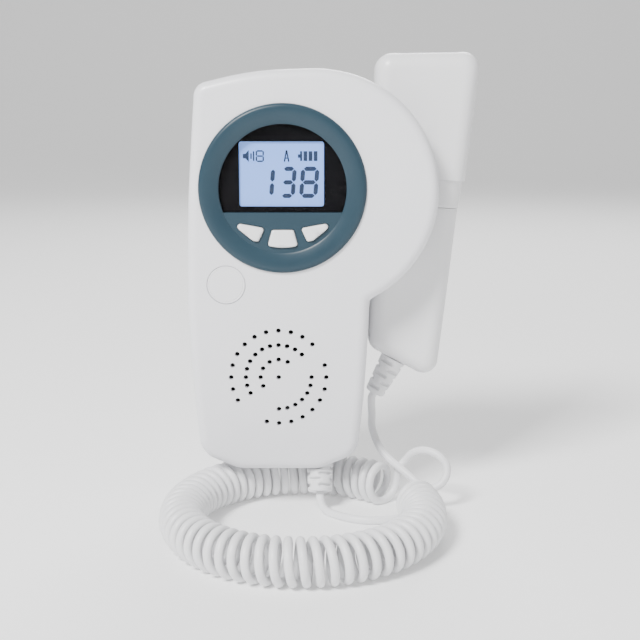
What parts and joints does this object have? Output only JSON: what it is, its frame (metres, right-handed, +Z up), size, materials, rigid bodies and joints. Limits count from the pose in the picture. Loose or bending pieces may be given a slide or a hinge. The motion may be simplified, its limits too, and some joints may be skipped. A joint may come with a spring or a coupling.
{
  "type": "fetal doppler monitor",
  "caption": "hand-held fetal heartbeat monitor with a round display dial, speaker grille and a clipped-on ultrasound probe on a curly cord",
  "frame": {"origin": "middle of the flat back of the unit, just above the battery door", "axes": "+Z up along the height of the unit, +Y out of the back and away from the display, +X towards the probe"},
  "size_m": [0.1138, 0.1061, 0.1677],
  "materials": {
    "shell_white": "satin white moulding",
    "dial_blue": "satin slate blue",
    "lens_clear": "polished clear acrylic",
    "mask_black": "gloss black film",
    "lcd_blue": "backlit liquid crystal glass",
    "frame_plastic": "matte moulding",
    "backlight_diffuser": "milky diffuser",
    "soft_black": "soft black",
    "key_white": "satin white",
    "chip_black": "moulded black",
    "board_green": "solder mask green",
    "screw_steel": "zinc plated",
    "cone_black": "matte film",
    "basket_steel": "pressed and painted",
    "magnet_dark": "sintered ferrite",
    "badge_white": "bare gloss disc",
    "cell_wrap": "plain printed sleeve",
    "contact_nickel": "nickel plated",
    "cord_white": "satin white jacket",
    "probe_white": "satin white moulding",
    "face_grey": "smooth acoustic window",
    "crystal_silver": "silvered ceramic"
  },
  "bodies": {
    "unit": {"front_shell": "shell_white", "rear_shell": "shell_white", "probe_holder": "shell_white", "dial_bezel": "dial_blue", "display_lens": "lens_clear", "display_mask": "mask_black", "lcd_glass": "lcd_blue", "lcd_frame": "frame_plastic", "backlight": "backlight_diffuser", "lcd_contact_strip": "soft_black", "tact_switches": "chip_black", "main_board": "board_green", "board_chips": "chip_black", "board_screws": "screw_steel", "speaker_gasket": "soft_black", "speaker_cone": "cone_black", "speaker_basket": "basket_steel", "speaker_magnet": "magnet_dark", "badge": "badge_white", "battery_cells": "cell_wrap", "battery_springs": "contact_nickel", "battery_plates": "contact_nickel", "shell_screws": "screw_steel", "holder_screws": "screw_steel", "cord_grommet": "cord_white", "curly_cord": "cord_white", "body_cord": "cord_white", "probe_cord": "cord_white"},
    "left_button": {"button_left": "key_white"},
    "middle_button": {"button_middle": "key_white"},
    "right_button": {"button_right": "key_white"},
    "door": {"battery_door": "shell_white"},
    "probe": {"probe_relief": "cord_white", "probe_collar": "probe_white", "probe_head": "probe_white", "probe_face": "face_grey", "probe_crystals": "crystal_silver", "probe_backing": "soft_black", "probe_handle_front": "probe_white", "probe_handle_back": "probe_white", "probe_board": "board_green", "probe_screws": "screw_steel"}
  },
  "joints": [
    {"name": "left_button_press", "type": "slide", "parent": "unit", "child": "left_button", "axis": [0, 1, 0], "range_m": [0, 0.0007], "stiffness_N_per_m": 2000},
    {"name": "middle_button_press", "type": "slide", "parent": "unit", "child": "middle_button", "axis": [0, 1, 0], "range_m": [0, 0.0007], "stiffness_N_per_m": 2000},
    {"name": "right_button_press", "type": "slide", "parent": "unit", "child": "right_button", "axis": [0, 1, 0], "range_m": [0, 0.0007], "stiffness_N_per_m": 2000},
    {"name": "door_hinge", "type": "hinge", "parent": "unit", "child": "door", "pos_m": [0, -0.0021, -0.0637], "axis": [-1, 0, 0], "range_deg": [0, 75]},
    {"name": "probe_pull", "type": "slide", "parent": "unit", "child": "probe", "axis": [0.9976, 0, -0.0698], "range_m": [0, 0.03]}
  ]
}
